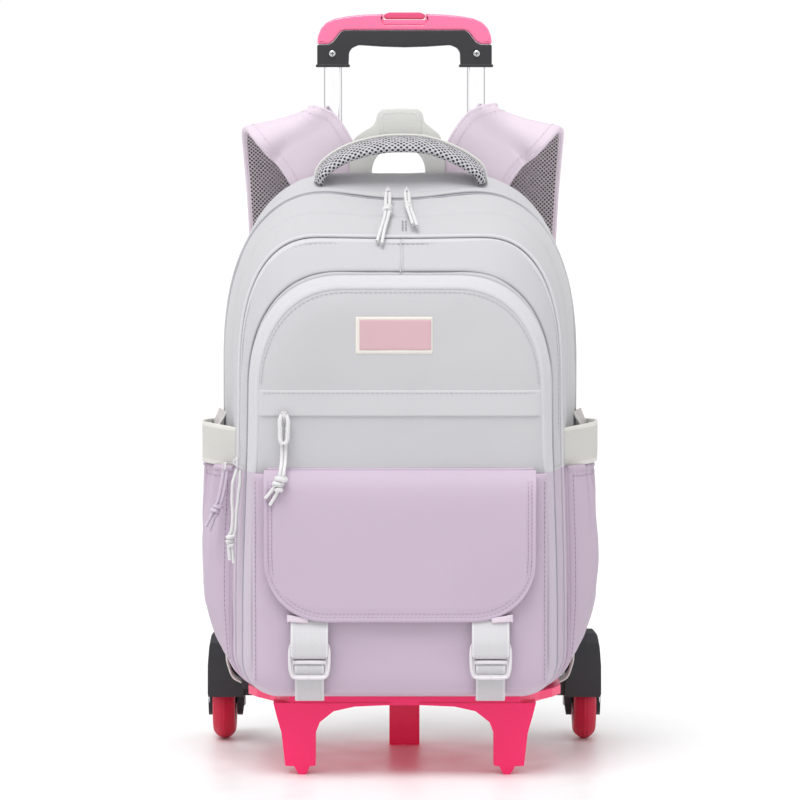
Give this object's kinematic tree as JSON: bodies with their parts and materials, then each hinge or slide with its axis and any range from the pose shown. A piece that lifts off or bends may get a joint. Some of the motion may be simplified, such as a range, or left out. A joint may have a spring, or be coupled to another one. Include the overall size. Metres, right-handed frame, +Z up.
{
  "type": "wheeled backpack",
  "caption": "School backpack on a two-wheel trolley: hollow zipped bag with a flap pocket, side pockets, padded straps and a telescopic pull handle.",
  "frame": {"origin": "on the floor, under the middle of the whole object's box", "axes": "+Z up, +X to the right seen from the bag's front, -Y towards the front (flap side), +Y towards the trolley tubes"},
  "size_m": [0.3582, 0.2973, 0.6586],
  "materials": {
    "shell_cloth": "light grey coated polyester with a fine matt weave",
    "lavender_cloth": "lavender coated polyester with a fine matt weave",
    "label": "dusty pink woven patch with an ivory border, bare",
    "webbing": "ivory ribbed webbing",
    "spacer_mesh": "grey spacer mesh with open holes",
    "pale_plastic": "pale moulded plastic",
    "pull_cord": "white braided cord",
    "black_plastic": "black moulded plastic",
    "base_pink": "hot pink moulded plastic, satin",
    "grip_pink": "pink moulded plastic, satin",
    "tyre_red": "crimson rubber",
    "aluminium": "brushed anodised tube",
    "steel": "small steel screw head"
  },
  "bodies": {
    "frame": {"back_shell": "shell_cloth", "main_shell": "shell_cloth", "second_shell": "shell_cloth", "front_shell": "shell_cloth", "front_pocket": "lavender_cloth", "flap": "lavender_cloth", "side_pocket_left": "lavender_cloth", "side_pocket_right": "lavender_cloth", "shoulder_strap_left": "lavender_cloth", "shoulder_strap_right": "lavender_cloth", "label_patch": "label", "flap_strap_left": "webbing", "flap_strap_right": "webbing", "base_strap_left": "webbing", "base_strap_right": "webbing", "side_strap_left": "webbing", "side_strap_right": "webbing", "lower_webbing_left": "webbing", "lower_webbing_right": "webbing", "rear_loop": "webbing", "grab_handle": "spacer_mesh", "back_pad": "spacer_mesh", "buckle_left": "pale_plastic", "buckle_right": "pale_plastic", "zip_slider_welt": "pale_plastic", "zip_slider_front": "pale_plastic", "pull_cord_top_left": "pull_cord", "pull_cord_top_right": "pull_cord", "pull_cord_welt": "pull_cord", "pull_cord_front_zip": "pull_cord", "pull_cord_side_zip": "pull_cord", "ladder_lock_left": "black_plastic", "ladder_lock_right": "black_plastic", "wheel_fork_left": "black_plastic", "wheel_fork_right": "black_plastic", "top_bracket": "black_plastic", "trolley_base": "base_pink", "outer_tube_left": "aluminium", "outer_tube_right": "aluminium"},
    "mid_stage": {"mid_tube_left": "aluminium", "mid_tube_right": "aluminium"},
    "handle": {"handle_rod_left": "aluminium", "handle_rod_right": "aluminium", "grip_core": "black_plastic", "grip_top": "grip_pink", "screw_left": "steel", "screw_right": "steel"},
    "button": {"grip_button": "grip_pink"},
    "wheel_left": {"tyre_left": "tyre_red", "wheel_hub_left": "black_plastic"},
    "wheel_right": {"tyre_right": "tyre_red", "wheel_hub_right": "black_plastic"}
  },
  "joints": [
    {"name": "wheel_left_spin", "type": "hinge", "parent": "frame", "child": "wheel_left", "pos_m": [-0.1637, 0.1084, 0.035], "axis": [1, 0, 0], "continuous": true},
    {"name": "wheel_right_spin", "type": "hinge", "parent": "frame", "child": "wheel_right", "pos_m": [0.1637, 0.1084, 0.035], "axis": [1, 0, 0], "continuous": true},
    {"name": "mid_slide", "type": "slide", "parent": "frame", "child": "mid_stage", "axis": [0, 0, 1], "range_m": [0, 0.19]},
    {"name": "handle_slide", "type": "slide", "parent": "mid_stage", "child": "handle", "axis": [0, 0, 1], "range_m": [-0.111, 0.12]},
    {"name": "button_press", "type": "slide", "parent": "handle", "child": "button", "axis": [0, 0, -1], "range_m": [0, 0.004], "stiffness_N_per_m": 500}
  ]
}
